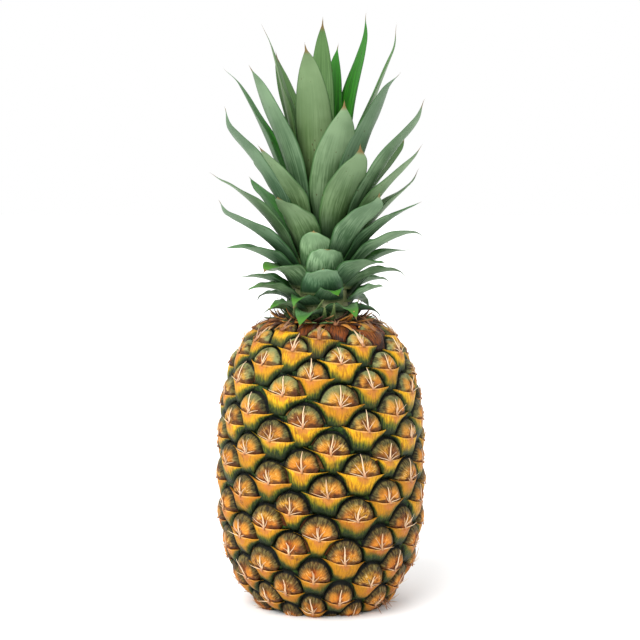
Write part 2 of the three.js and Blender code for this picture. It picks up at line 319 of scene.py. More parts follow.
def dome_height(x, y, wide, tall, random):
    """How far the eye stands out, from 0 to about 1: a steep-sided dome with a cheek at each side,
    creased above its middle, folded round it, and sunk at the pucker just above its lip."""
    dome = np.clip(1 - eye_reach(x, y, wide, tall) ** 2.8, 0, 1) ** 0.6
    turn = np.arctan2(x - 0.06 * (random - 0.5), y - PUCKER)
    away = np.hypot(x, y - PUCKER)
    crease = np.exp(-((np.abs(turn) / 0.14) ** 2))
    crease = crease * smooth(away, 0.05, 0.3) * (1 - smooth(away, 0.6, 0.95))
    folds = np.sin(turn * 11 + 9 * random)
    folds = folds * smooth(away, 0.12, 0.35) * (1 - smooth(away, 0.5, 0.9))
    pucker = np.exp(-((x / 0.26) ** 2) - ((y - PUCKER) / 0.18) ** 2)
    cheeks = np.exp(-(((np.abs(x) - 0.38) / 0.2) ** 2) - ((y - 0.08) / 0.26) ** 2)
    return dome * (1 - 0.26 * crease + 0.09 * folds + 0.13 * cheeks) - 0.22 * pucker * np.sign(dome)


def cell_height(x, y, q, wide, tall, random):
    """How far the rind stands out over one cell, in millimetres: the eye above the lip, a slit
    along the lip, a lower bed for the bract below it, and a narrow groove round the eye."""
    groove = GROOVE_DEPTH * np.exp(-(((eye_reach(x, y, wide, tall) - 1.06) / 0.08) ** 2))
    eye = DOME_HEIGHT * dome_height(x, y, wide, tall, random) - groove
    below = smooth(lip_line(x) - y, -0.04, 0.14)
    bed = 0.9 * (1 - smooth(q, 0.3, 0.8)) + EDGE_LEVEL * smooth(q, 0.5, 1.0)
    slit = np.exp(-(((y - lip_line(x) - 0.03) / 0.05) ** 2))
    slit = slit * smooth(np.abs(x), 0.08, 0.3) * (1 - smooth(q, 0.75, 1))
    raised = eye * (1 - below) + bed * below - slit
    edge = smooth(q, 0.92, 1.0)
    return raised * (1 - edge) + EDGE_LEVEL * edge


def make_rind(material):
    """The fruit's skin, one closed surface. Each fruitlet's cell is a hexagon whose corners are the
    middles of the triangles that it makes with its neighbours up the three spirals, filled by rings
    that shrink to its centre."""
    around = [fruitlet_place(INDICES + step) for step in NEIGHBOURS]
    bearings = np.stack([near(b, BEARINGS) for b, _ in around])
    lengths = np.stack([s for _, s in around])
    corner_b = (BEARINGS + bearings + np.roll(bearings, -1, axis=0)) / 3
    corner_s = (LENGTHS + lengths + np.roll(lengths, -1, axis=0)) / 3
    step = np.arange(EDGE_STEPS) / EDGE_STEPS
    sides = len(NEIGHBOURS) * EDGE_STEPS

    def rim(corners):
        after = np.roll(corners, -1, axis=0)
        walked = corners[:, None] + (after - corners)[:, None] * step[None, :, None]
        return walked.reshape(sides, -1).T

    rim_b, rim_s = rim(corner_b), rim(corner_s)
    q = 1 - np.linspace(0, 1, CELL_RINGS + 1)[:-1] ** 1.4
    bearing = BEARINGS[:, None, None] + (rim_b - BEARINGS[:, None])[:, None] * q[None, :, None]
    length = LENGTHS[:, None, None] + (rim_s - LENGTHS[:, None])[:, None] * q[None, :, None]
    bearing = np.concatenate([bearing.reshape(len(INDICES), -1), BEARINGS[:, None]], 1)
    length = np.concatenate([length.reshape(len(INDICES), -1), LENGTHS[:, None]], 1)
    length = np.clip(length, OUTLINE[0][0], OUTLINE[0][-1])
    share = np.concatenate([np.repeat(q, sides), [0]])[None] + np.zeros((len(INDICES), 1))
    x = (bearing - BEARINGS[:, None]) * SKIN_RADIUS / CELL_WIDTH
    y = (length - LENGTHS[:, None]) / CELL_HEIGHT
    narrow = np.clip(girth(LENGTHS), 0.35, 1)[:, None]
    flat = smooth(length, -6, 6)
    wide, tall = EYE_WIDTHS[:, None], EYE_HEIGHTS[:, None]
    raised = cell_height(x, y, share, wide, tall, RANDOM[:, 1:2])
    raised = raised * (0.45 + 0.55 * narrow) * (0.15 + 0.85 * flat)
    raised = raised + 0.16 * ripple(bearing * 60, length * 0.9, salt=4) * (1 - share)
    points = on_fruit(bearing, length, raised)
    per_cell = points.shape[1]
    quads = grid_faces(CELL_RINGS, sides, wrap=True)
    last = np.arange(sides) + (CELL_RINGS - 1) * sides
    fans = fan_faces(last, per_cell - 1)
    base = (np.arange(len(INDICES)) * per_cell)[:, None, None]
    quads, fans = (quads[None] + base).reshape(-1, 4), (fans[None] + base).reshape(-1, 3)
    flat_points = points.reshape(-1, 3)
    rounded = np.round(flat_points, 4)
    _, first, merged = np.unique(rounded, axis=0, return_index=True, return_inverse=True)
    merged = merged.ravel()
    rims = (np.arange(sides)[None] + base[:, :, 0]).reshape(len(INDICES), sides)
    edges = np.stack([merged[rims], merged[np.roll(rims, -1, axis=1)]], -1).reshape(-1, 2)
    key, back = edges[:, 0] * 10**7 + edges[:, 1], edges[:, 1] * 10**7 + edges[:, 0]
    open_edges = edges[~np.isin(key, back) & (edges[:, 0] != edges[:, 1])]
    vertices = flat_points[first]
    low_pole, high_pole = len(vertices), len(vertices) + 1
    vertices = np.concatenate([vertices, [[0, 0, RECESS_HEIGHT], [0, 0, FRUIT_TOP - 0.5]]])
    pole = np.where(vertices[open_edges[:, 0], 2] < WIDEST, low_pole, high_pole)
    caps = np.stack([open_edges[:, 1], open_edges[:, 0], pole], -1)
    place = np.stack([x, y], -1).reshape(-1, 2)
    reach = eye_reach(x, y, wide, tall)
    chance, height = RANDOM[:, 2:3] + 0 * x, HEIGHT_SHARE[:, None] + 0 * x
    tone = np.stack([chance, height, reach], -1).reshape(-1, 3)
    corners = np.concatenate([quads.ravel(), fans.ravel()])
    uv = np.concatenate([place[corners], np.zeros((caps.size, 2))])
    tones = np.concatenate([tone[corners], np.tile([0.5, 0.5, 1.0], (caps.size, 1))])
    faces = [merged[quads], merged[fans], caps]
    faces = [block[:, ::-1] for block in faces]
    counts = [quads.size, fans.size, caps.size]
    pieces_uv, pieces_tone, start = [], [], 0
    for count, width in zip(counts, (4, 3, 3)):
        rows = slice(start, start + count)
        pieces_uv.append(uv[rows].reshape(-1, width, 2)[:, ::-1].reshape(-1, 2))
        pieces_tone.append(tones[rows].reshape(-1, width, 3)[:, ::-1].reshape(-1, 3))
        start += count
    uv, tones = np.concatenate(pieces_uv), np.concatenate(pieces_tone)
    return make_piece("fruit_rind", vertices, faces, material, ["fruit_body"], uv, tones)


def in_cell(k, x, y, raised):
    """Points over fruitlet k, from places in its cell and heights above the skin."""
    bearing = BEARINGS[k] + x * CELL_WIDTH / SKIN_RADIUS
    length = np.clip(LENGTHS[k] + y * CELL_HEIGHT, OUTLINE[0][0], OUTLINE[0][-1])
    narrow = 0.45 + 0.55 * np.clip(girth(LENGTHS[k]), 0.35, 1)
    return on_fruit(bearing, length, raised * narrow)


LOWEST_BRACT = 1.0
VISIBLE = np.flatnonzero(LENGTHS > LOWEST_BRACT)
BRACT_POINTS = 19
BRACT_ROWS = 7
WING_CROWDING = 1.35
DEEPEST_FOOT = -1.22
BRACT_BULGE = 3.5
BASE_SHREDS = 5
SHRED_BEARING = math.radians(52)
OUTER_SPREAD = 0.4
OUTER_MISSING = 0.62
STRAND_STATIONS = 7
STRAND_SIDES = 5
# Each bract's dry strands: how far each spreads and stands in its cell, and its radius at the foot.
STRANDS = (
    (0.0, 0.86, 0.75),
    (-0.26, 0.5, 0.32),
    (0.28, 0.42, 0.32),
    (0.08, 0.62, 0.30),
    (-0.48, 0.22, 0.36),
    (0.44, 0.18, 0.36),
)


def make_bracts(material):
    """The fleshy bract under each eye: a shell with a nearly straight upper lip, a long pointed
    wing at each side, and a foot that fits round the tops of the three eyes below. It bulges, and
    its edges dip into the grooves. A fan to one hidden point closes it underneath."""
    batch = Batch()
    across, down = BRACT_POINTS, BRACT_ROWS
    crowded = np.sin(np.linspace(-1, 1, across) * WING_CROWDING) / math.sin(WING_CROWDING)
    a, b = np.meshgrid(crowded, np.linspace(0, 1, down))
    rim = np.concatenate([
        np.arange(across),
        np.arange(1, down) * across + across - 1,
        np.arange(across - 2, -1, -1) + (down - 1) * across,
        np.arange(down - 2, 0, -1) * across,
    ])
    count = across * down
    for k in VISIBLE:
        random = RANDOM[k]
        wing = 1.08 + 0.26 * smooth(HEIGHT_SHARE[k], 0.15, 0.5) + 0.16 * (random[0] - 0.5)
        x = a * wing * (1 - 0.06 * b)
        top = lip_line(x) + 0.03 * ripple(a * 5 + 20 * random[2], salt=2)
        top = top + 0.12 * (random[5] - 0.5) * a
        foot = np.full_like(x, DEEPEST_FOOT)
        for step in (-8, -13, -21):
            bearing, length = fruitlet_place(INDICES[k] + step)
            dx = (near(bearing, BEARINGS[k]) - BEARINGS[k]) * SKIN_RADIUS / CELL_WIDTH
            dy = (length - LENGTHS[k]) / CELL_HEIGHT
            wide, tall = eye_size(INDICES[k] + step)
            inside = np.clip(1 - (np.abs(x - dx) / (wide + EYE_MARGIN)) ** EYE_SQUARENESS, 0, 1)
            arch = dy + EYE_MIDDLE + (tall + EYE_MARGIN) * inside ** (1 / EYE_SQUARENESS)
            foot = np.where(inside > 0, np.maximum(foot, arch), foot)
        narrowing = 1 - np.abs(a) ** 5
        foot = np.minimum(foot * narrowing + (top - 0.04) * (1 - narrowing), top - 0.04)
        y = top + (foot - top) * b
        bulge = np.clip(1 - np.abs(a) ** 1.8, 0, 1)
        raised = EDGE_LEVEL + 0.2 + BRACT_BULGE * bulge * (1 - b**2.4) + (1 - b) * (1 - bulge)
        raised = raised + 0.3 * (1 - b) ** 4
        raised = raised + 0.3 * ripple(a * 5, b * 3, salt=9 * random[4]) * (1 - b)
        outer = in_cell(k, x, y, raised).reshape(-1, 3)
        under = in_cell(k, np.zeros(1), np.full(1, LIP_HEIGHT - 0.3), np.full(1, -1.5))
        faces = [grid_faces(down, across)[:, ::-1], fan_faces(rim, count)]
        place = np.concatenate([np.stack([a, b], -1).reshape(-1, 2), [[0, 0.9]]])
        tone = [random[2], HEIGHT_SHARE[k], random[5]]
        batch.add(np.concatenate([outer, under]), faces, place, tone)
    return batch.build("fruitlet_bracts", material)


def along_strand(t, sides):
    """The pair of numbers for each point of a tapering tube: how far along it the point is, and
    nothing."""
    along = np.concatenate([np.repeat(t, sides), [0, 1]])
    return np.stack([along, 0 * along], -1)


def make_spines(material):
    """The dry tip of each bract, which runs up over the eye from its middle: a flattened tapering
    blade, bent a little to one side, and finer fibres that spread beside it. Some stand clear of
    the eye. A few loose shreds lie near the base on one side."""
    batch = Batch()
    t = np.linspace(0, 1, STRAND_STATIONS)
    sides = STRAND_SIDES
    place = along_strand(t, sides)
    for k in VISIBLE:
        random = RANDOM[k]
        for strand, (spread, tall, radius) in enumerate(STRANDS):
            chance = scatter(INDICES[k] * 7 + strand, 11)
            if abs(spread) > OUTER_SPREAD and chance < OUTER_MISSING:
                continue
            lean = 0.25 * (random[4] - 0.5) + spread * (0.6 + 0.8 * chance)
            high = smooth(HEIGHT_SHARE[k], 0.80, 0.93)
            tall = tall * (0.75 + 0.5 * chance) * (1 + 0.35 * high)
            x = lean * t**1.3 + 0.02 * np.sin(6 * t + 9 * random[1])
            y = LIP_HEIGHT - 0.03 + tall * t
            dome = dome_height(x, y, EYE_WIDTHS[k], EYE_HEIGHTS[k], random[1])
            ground = DOME_HEIGHT * np.maximum(dome, 1.05 - 1.3 * t)
            clear = 0.30 + (5.0 * scatter(INDICES[k] + strand, 12) ** 2.0 + 1.5 * high) * t**1.7
            path = in_cell(k, x, y, ground + clear)
            radii = radius * (1 + 1.0 * high) * (1 - 0.86 * t) ** 0.8
            points, faces = tube_shape(path, radii, sides, 0.55, path[0] * (1, 1, 0))
            batch.add(points, faces, place, [random[2], HEIGHT_SHARE[k], chance])
    for shred in range(BASE_SHREDS):
        chance = [float(scatter(shred, salt)) for salt in range(50, 55)]
        bearing = SHRED_BEARING + 0.35 * (chance[0] - 0.5) + (chance[1] - 0.5) * 0.12 * t
        length = 9 + 5 * chance[2] - 6 * t * chance[3]
        path = on_fruit(bearing, length, 1.5 + (5 + 5 * chance[4]) * t)
        points, faces = tube_shape(path, 0.6 * (1 - 0.85 * t), sides, 0.5, (0, 0, 1))
        batch.add(points, faces, place, [0.95, 1.0, chance[0]])
    return batch.build("bract_spines", material)


# ---- the crown's leaves ----
LEAF_RINGS = 10
RING_POINTS = 6
BLADE_FULLNESS = 5.0
BLADE_END = 0.955
SPINE_SHARE = 0.05
# The short blunt leaves: the share of the CAD leaf that each keeps, and how far its end is lifted.
STUBBY_LEAVES = {
    "leaf_10": (0.70, 1.5),
    "leaf_15": (0.60, 6.0),
    "leaf_24": (0.60, 8.0),
    "leaf_30": (0.66, 8.0),
}
STUBBY_FULLNESS = 2.6
# Each ring of dry neck bracts, as its number of blades, its radius at the root, the reach of its
# blades, its height, their rise, their half width, and the share of them that is still green.
NECK_RINGS = (
    (40, 27, 9.0, 165.9, -2.2, 3.0, 0.0),
    (38, 24, 8.5, 166.3, 2.0, 3.0, 0.1),
    (34, 21, 8.0, 166.8, 5.5, 2.7, 0.3),
    (28, 18, 8.0, 167.8, 9.0, 2.4, 0.6),
)
SKIRT_RANK = 0.2
SKIRT_WIDTH = 0.76
SKIRT_FULLNESS = 2.8
LEAF_POINTS = 15
LEAF_STATIONS = 60
MIDRIB_SHARE = 0.16
LEAF_CURL_MOST = 4.5
NECK_STATIONS = 6
NECK_SIDES = 6


def curve_through(knots, t):
    """A smooth curve through evenly spaced knots: each span a cubic whose end slopes are half the
    step between the knots either side."""
    knots = np.asarray(knots, float)
    padded = np.concatenate([2 * knots[:1] - knots[1:2], knots, 2 * knots[-1:] - knots[-2:-1]])
    place = np.clip(t, 0, 1) * (len(knots) - 1)
    span = np.minimum(place.astype(int), len(knots) - 2)
    u = (place - span)[:, None]
    p0, p1, p2, p3 = (padded[span + k] for k in range(4))
    second = 2 * p0 - 5 * p1 + 4 * p2 - p3
    third = 3 * p1 - p0 - 3 * p2 + p3
    return 0.5 * (2 * p1 + (p2 - p0) * u + second * u**2 + third * u**3)


def leaf_rings(node):
    """The rings of a CAD leaf, from root to tip, as arrays of its left edge, right edge and midrib,
    then its tip. The points that are the same number of edges from the tip make up one ring."""
    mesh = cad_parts[node].data
    co = np.empty(len(mesh.vertices) * 3, np.float32)
    mesh.vertices.foreach_get("co", co)
    corner = np.empty(len(mesh.loops), np.int32)
    mesh.loops.foreach_get("vertex_index", corner)
    points, merged = np.unique(np.round(co.reshape(-1, 3) / MM, 3), axis=0, return_inverse=True)
    triangles = merged.ravel()[corner].reshape(-1, 3)
    joined = np.eye(len(points), dtype=bool)
    for a, b in ((0, 1), (1, 2), (2, 0)):
        joined[triangles[:, a], triangles[:, b]] = joined[triangles[:, b], triangles[:, a]] = True
    reached = np.eye(len(points), dtype=int)
    steps = np.where(reached, 0, -1)
    for step in range(1, LEAF_RINGS + 1):
        reached = (reached @ joined > 0).astype(int)
        steps[(steps < 0) & (reached > 0)] = step
    even = [(steps == step).sum(1) == RING_POINTS for step in range(1, LEAF_RINGS + 1)]
    tip = np.argmax(np.all(even, axis=0))
    rings = np.stack([points[steps[tip] == step] for step in range(LEAF_RINGS, 0, -1)])
    outward = points[tip] * (1, 1, 0) / np.linalg.norm(points[tip] * (1, 1, 0))
    sideways = np.array([-outward[1], outward[0], 0])
    order = np.argsort(rings @ sideways, axis=1)
    rings = np.take_along_axis(rings, order[..., None], axis=1)
    left, right = rings[:, 0], rings[:, -1]
    middle = (rings[:, 1:-1].mean(1) - MIDRIB_SHARE * (left + right) / 2) / (1 - MIDRIB_SHARE)
    return left, right, middle, points[tip]


def make_leaf(node, rank, material):
    """One leaf: the channel between its edges and midrib, carried along a smooth curve to its tip,
    as a closed shell that is thickest along the midrib. Its blade waves and twists a little, and
    its dry tip curls over."""
    left, right, middle, tip = leaf_rings(node)
    across, stations = LEAF_POINTS, LEAF_STATIONS
    t = 1 - (1 - np.linspace(0, 1, stations)) ** 1.3
    random = [float(scatter(rank * 97, salt)) for salt in range(20, 30)]
    end, lift = STUBBY_LEAVES.get(node, (1.0, 0.0))
    rib = curve_through(np.concatenate([middle, [tip]]), t * end)
    half = curve_through(np.concatenate([(right - left) / 2, [[0, 0, 0]]]), t * end)
    sag = curve_through(np.concatenate([(left + right) / 2 - middle, [[0, 0, 0]]]), t * end)
    skirt = rank < SKIRT_RANK
    fullness = STUBBY_FULLNESS if lift else SKIRT_FULLNESS if skirt else BLADE_FULLNESS
    blunt = np.clip(1 - (t / BLADE_END) ** fullness, 0, 1) ** (0.6 if lift else 1.0)
    blunt = blunt + SPINE_SHARE * smooth(t, 0.75, BLADE_END)
    blunt = blunt * (SKIRT_WIDTH if skirt and not lift else 1.0)
    fuller = blunt / (1 - np.minimum(t * end, 0.999) ** 3.2) * (1 - smooth(t, BLADE_END, 1.0))
    half, sag = half * fuller[:, None], sag * (fuller * (1 - 0.6 * smooth(t, 0.5, 1)))[:, None]
    along = np.gradient(rib, axis=0)
    along /= np.linalg.norm(along, axis=1, keepdims=True)
    side = (right - left).mean(0)
    side = side - along * (along @ side)[:, None]
    side /= np.linalg.norm(side, axis=1, keepdims=True)
    inward = np.cross(side, along)
    inward *= np.sign((inward * sag).sum(1).mean())
    blade = np.linalg.norm(np.diff(rib, axis=0), axis=1).sum()
    sway = blade * 0.05 * (random[0] - 0.5) * smooth(t, 0.35, 1)
    curl = np.clip(blade * 0.05, 0, LEAF_CURL_MOST) * (0.25 + random[1])
    curl = curl * smooth(t, 0.86, 1) ** 1.6
    turn = 1 if random[2] > 0.45 else -1
    rib[:, 2] += lift * t
    sideways = sway + 0.6 * curl * (random[6] - 0.5)
    rib = rib + side * sideways[:, None] + inward * (curl * turn)[:, None]
    twist = 0.5 * (random[7] - 0.5) * smooth(t, 0.4, 1)
    half = half + inward * (np.linalg.norm(half, axis=1) * np.sin(twist))[:, None]
    a = np.linspace(-1, 1, across)
    shape = rib[:, None] + a[None, :, None] * half[:, None] + (a**2)[None, :, None] * sag[:, None]
    phase = t[:, None] * (16 + 8 * random[3]) + 3 * a[None] + 9 * random[4]
    wave = 0.45 * np.sin(phase) * np.abs(a[None]) ** 2
    fade = (smooth(t, 0.1, 0.4) * (1 - t**4))[:, None]
    keel = 0.3 * np.exp(-((a[None] / 0.2) ** 2)) * (1 - t[:, None] ** 2)
    shape = shape + inward[:, None] * (wave * fade - keel)[..., None]
    normal = np.cross(np.gradient(shape, axis=1), np.gradient(shape, axis=0))
    normal[-1] = normal[-2]
    normal /= np.linalg.norm(normal, axis=2, keepdims=True) + 1e-9
    normal *= np.sign((normal[:, across // 2] * inward).sum())
    thick = 0.14 + 0.5 * (1 - np.abs(a[None]) ** 2.2)
    thick = thick * (1.15 - 0.75 * t[:, None] ** 1.5) * (1 - t[:, None] ** 10)
    thick = np.minimum(thick, 0.3 * np.linalg.norm(half, axis=1)[:, None])
    inner = shape + normal * thick[..., None]
    outer = (shape - normal * thick[..., None])[:, ::-1]
    section = np.concatenate([inner, outer], 1)
    columns = 2 * across
    rows = stations - 1
    body = section[:-1].reshape(-1, 3)
    points = np.concatenate([body, [rib[-1]], [body[:columns].mean(0)]])
    faces = [
        grid_faces(rows, columns, wrap=True),
        fan_faces(np.arange(columns) + (rows - 1) * columns, len(body)),
        fan_faces(np.arange(columns), len(body) + 1, reverse=True),
    ]
    if np.dot(np.cross(half[5], along[5]), normal[5, across // 2]) > 0:
        faces = [block[:, ::-1] for block in faces]
    which = np.concatenate([np.ones(across), np.zeros(across)])
    place = np.stack([np.tile(np.concatenate([a, a[::-1]]), rows), np.repeat(t[:-1], columns)], -1)
    place = np.concatenate([place, [[0, 1], [0, 0]]])
    facing = np.concatenate([np.tile(which, rows), [0.5, 0.5]])
    tone = np.stack([np.full(len(points), random[5]), np.full(len(points), rank), facing], -1)
    corners = np.concatenate([block.ravel() for block in faces])
    return make_piece(node, points, faces, material, [node], place[corners], tone[corners])


def make_neck(material):
    """The dry bracts round the foot of the crown: rings of narrow pointed blades, the outer ones
    lying out over the shoulder and the inner ones standing up against the stem."""
    batch = Batch()
    t = np.linspace(0, 1, NECK_STATIONS)
    sides = NECK_SIDES
    place = along_strand(t, sides)
    for ring, (blades, root, reach, low, rise, wide, green) in enumerate(NECK_RINGS):
        for blade in range(blades):
            chance = [float(scatter(blade + 40 * ring, salt)) for salt in range(40, 46)]
            bearing = (blade + 0.7 * chance[0]) * TAU / blades + (chance[1] - 0.5) * 0.5 * t**1.5
            r = root + 2.5 * (chance[2] - 0.5) + reach * (0.6 + 0.8 * chance[3]) * t
            z = low + rise * (0.5 + chance[4]) * t ** (1.5 + chance[5]) + 0.8 * np.sin(3.1 * t)
            path = np.stack([r * np.sin(bearing), -r * np.cos(bearing), z], -1)
            radii = wide * (0.7 + 0.6 * chance[1]) * (1 - 0.93 * t) ** 0.75
            points, faces = tube_shape(path, radii, sides, 0.28, (0, 0, 1))
            batch.add(points, faces, place, [chance[0], float(chance[5] < green), chance[3]])
    return batch.build("neck_bracts", material, ["bract_collar"])


# ---- materials ----
GLOSS = 0.25
RIND_BUMP = 0.0012
BRACT_BUMP = 0.0009
DRY_BUMP = 0.0004
NECK_BUMP = 0.0006
LEAF_BUMP = 0.00012
FIBRE_BUMP = 0.0009
LEAF_GAIN = 1.22
PALE_LEAF_GAIN = 1.75


class Value:
    """A socket's number, colour or vector, with arithmetic that adds Math nodes."""

    def __init__(self, tree, socket):
        self.tree, self.socket = tree, socket

    def _math(self, operation, *terms):
        inputs = dict(enumerate(terms))
        return self.tree.node("ShaderNodeMath", {"operation": operation}, inputs).out(0)

    def __add__(self, other):
        return self._math("ADD", self, other)

    def __sub__(self, other):
        return self._math("SUBTRACT", self, other)

    def __rsub__(self, other):
        return self._math("SUBTRACT", other, self)

    def __mul__(self, other):
        return self._math("MULTIPLY", self, other)

    def __pow__(self, other):
        return self._math("POWER", self, other)

    __radd__, __rmul__ = __add__, __mul__

    def abs(self):
        return self._math("ABSOLUTE", self)

    def step(self, low, high):
        """0 below low, 1 above high, smooth between; the other way round if low is the larger."""
        if low > high:
            return 1 - self.step(high, low)
        settings = {"interpolation_type": "SMOOTHSTEP"}
        inputs = {"Value": self, "From Min": low, "From Max": high}
        return self.tree.node("ShaderNodeMapRange", settings, inputs).out(0)


class Node:
    """A node, whose outputs are taken as values."""

    def __init__(self, tree, node):
        self.tree, self.node = tree, node

    def out(self, name):
        return Value(self.tree, self.node.outputs[name])


class Finish:
    """A material whose nodes are added by one method, and whose last step is a Principled
    shader."""

    def __init__(self, name):
        self.material = bpy.data.materials.new(name)
        self.material.use_nodes = True
        self.nodes = self.material.node_tree.nodes
        self.links = self.material.node_tree.links
        self.shader = self.nodes["Principled BSDF"]

    def put(self, socket, value):
        """A value's link, or a plain number or colour, into a socket."""
        if isinstance(value, Value):
            self.links.new(value.socket, socket)
        else:
            socket.default_value = value

    def node(self, kind, settings=None, inputs=None):
        """Any node, from its type, its settings, and the values or links of its sockets."""
        node = self.nodes.new(kind)
        for key, value in (settings or {}).items():
            setattr(node, key, value)
        for key, value in (inputs or {}).items():
            self.put(node.inputs[key], value)
        return Node(self, node)

    def place(self):
        """The piece's own pair of numbers, as two values."""
        source = self.node("ShaderNodeUVMap", {"uv_map": "place"}).out(0)
        split = self.node("ShaderNodeSeparateXYZ", {}, {0: source})
        return split.out(0), split.out(1)

    def tones(self):
        """The piece's own triple of numbers."""
        source = self.node("ShaderNodeAttribute", {"attribute_name": "tone"}).out("Vector")
        split = self.node("ShaderNodeSeparateXYZ", {}, {0: source})
        return split.out(0), split.out(1), split.out(2)

    def object_place(self):
        return self.node("ShaderNodeTexCoord").out("Object")

    def vector(self, x, y, z):
        return self.node("ShaderNodeCombineXYZ", {}, {0: x, 1: y, 2: z}).out(0)

    def noise(self, vector, scale, detail, rough=0.55):
        inputs = {"Vector": vector, "Scale": scale, "Detail": detail, "Roughness": rough}
        return self.node("ShaderNodeTexNoise", {}, inputs).out(0)

    def cells(self, vector, scale):
        inputs = {"Vector": vector, "Scale": scale}
        return self.node("ShaderNodeTexVoronoi", {}, inputs).out("Distance")

    def mix(self, first, second, share):
        """The first colour turned into the second by a share."""
        first, second = ((*c, 1) if isinstance(c, tuple) else c for c in (first, second))
        node = self.node("ShaderNodeMix", {"data_type": "RGBA"}, {0: share, 6: first, 7: second})
        return Value(self, node.node.outputs[2])

    def deepen(self, colour, power, gain):
        """The colour with its dark and its weaker parts brought down: each part to a power, times a
        gain."""
        raised = self.node("ShaderNodeGamma", {}, {0: colour, 1: power}).out(0)
        inputs = {0: raised, "Scale": gain}
        return self.node("ShaderNodeVectorMath", {"operation": "SCALE"}, inputs).out(0)

    def finish(self, colour, roughness, height=None, depth=0.0, **constants):
        """The finished material: its colour and roughness, bumps of a height and depth, and
        constants of the shader."""
        self.put(self.shader.inputs["Base Color"], colour)
        self.put(self.shader.inputs["Roughness"], roughness)
        for name, value in constants.items():
            self.put(self.shader.inputs[name.replace("_", " ")], value)
        if height is not None:
            inputs = {"Height": height, "Distance": depth, "Strength": 1.0}
            bump = self.node("ShaderNodeBump", {}, inputs)
            self.put(self.shader.inputs["Normal"], bump.out(0))
        return self.material


EYE_BROWN = (0.22, 0.095, 0.028)
EYE_TAN = (0.58, 0.34, 0.050)
EYE_RUST = (0.56, 0.17, 0.014)
EYE_STRAW_AND_HIGHLIGHT = (0.80, 0.60, 0.34)
WRINKLE_BROWN = (0.11, 0.038, 0.012)
RIM_DARK = (0.030, 0.034, 0.012)
RIM_GREEN = (0.15, 0.15, 0.060)
RIM_BLOOM = (0.38, 0.41, 0.22)
PUCKER_BROWN = (0.34, 0.12, 0.035)
SEAM_DARK = (0.012, 0.036, 0.006)
SEAM_GREEN = (0.07, 0.13, 0.016)
GROOVE_SHADE = (0.003, 0.009, 0.002)
CHEEK_HIGHLIGHT = (0.78, 0.40, 0.07)
LIP_SHADE = (0.10, 0.035, 0.010)
SPECK_BROWN = (0.04, 0.022, 0.008)
WITHERED_AND_SHADED_EYE = (0.10, 0.032, 0.008)


def rind_finish():
    """Eyes from tan to orange-brown with a grey-green rim, painted shade as near-black green in the
    grooves round them, and fine radial wrinkles and specks. The pale straw on the wrinkles is dry
    tissue and partly painted highlight, the gold on the cheeks is painted highlight, the brown low
    in the eye by the lip is painted shade, and the darkened top rows are withered and partly
    painted shade under the crown."""
    f = Finish("rind")
    x, y = f.place()
    chance, height, reach = f.tones()
    spot = f.object_place()
    broad = f.noise(spot, 60, 3)
    fine = f.noise(spot, 420, 4, 0.6)
    speck = f.noise(spot, 1500, 3, 0.7)
    up = y - PUCKER
    turn = f.node("ShaderNodeMath", {"operation": "ARCTAN2"}, {0: x, 1: up}).out(0)
    away = (x * x + up * up) ** 0.5
    rays = f.noise(f.vector(turn * 4, away * 1.6, chance * 30), 2.6, 3, 0.65)
    low = height.step(0.8, 0.05)
    patch = f.noise(spot, 130, 3)
    eye = f.mix(EYE_BROWN, EYE_TAN, patch.step(0.40, 0.58))
    eye = f.mix(eye, EYE_RUST, (low * 0.8 + chance * 0.35) * broad.step(0.35, 0.6) * 0.8)
    # pale straw on the wrinkles: dry tissue and partly a painted highlight
    eye = f.mix(eye, EYE_STRAW_AND_HIGHLIGHT, rays.step(0.53, 0.64) * patch.step(0.35, 0.55) * 0.85)
    eye = f.mix(eye, WRINKLE_BROWN, rays.step(0.46, 0.36) * 0.8)
    ring = reach + (broad - 0.5) * 0.5 + y * 0.2
    green = f.mix(RIM_DARK, RIM_GREEN, rays.step(0.38, 0.62))
    eye = f.mix(eye, green, ring.step(0.50, 0.92) * (0.80 + height * 0.2))
    bloom = height.step(0.45, 0.85) * ring.step(0.30, 0.75) * patch.step(0.42, 0.58)
    eye = f.mix(eye, RIM_BLOOM, bloom * 0.7)
    pucker = (x * x * 9 + up * up * 14).step(0.9, 0.1)
    eye = f.mix(eye, PUCKER_BROWN, pucker * fine.step(0.35, 0.6) * 0.8)
    edge = reach + (fine - 0.5) * 0.08
    flesh = f.mix(SEAM_DARK, SEAM_GREEN, fine.step(0.35, 0.7))
    # painted shade: a near-black line in the groove round each eye
    outside = f.mix(GROOVE_SHADE, flesh, edge.step(1.05, 1.15))
    colour = f.mix(eye, outside, edge.step(0.92, 0.98))
    # painted highlight: gold on the cheek at each side of the eye
    beside, above = x.abs() - 0.36, y - 0.12
    cheek = (beside * beside * 9 + above * above * 5).step(0.9, 0.1)
    colour = f.mix(colour, CHEEK_HIGHLIGHT, cheek * broad.step(0.42, 0.6) * 0.6)
    shade = (up * 7 + (fine - 0.5) * 2).step(0.9, 0.0) * x.abs().step(0.12, 0.3)
    shade = shade * edge.step(1.0, 0.92)
    colour = f.mix(colour, LIP_SHADE, shade * 0.75)
    colour = f.mix(colour, SPECK_BROWN, speck.step(0.66, 0.74) * 0.6)
    # the top rows: withered brown and partly painted shade under the crown
    colour = f.mix(colour, WITHERED_AND_SHADED_EYE, height.step(0.89, 0.97) * 0.9)
    bump = rays * 0.9 + fine * 0.5 + speck * 0.22
    rough = 0.45 + fine * 0.25
    colour = f.deepen(colour, 1.45, 1.28)
    return f.finish(colour, rough, bump, RIND_BUMP, Specular_IOR_Level=GLOSS)


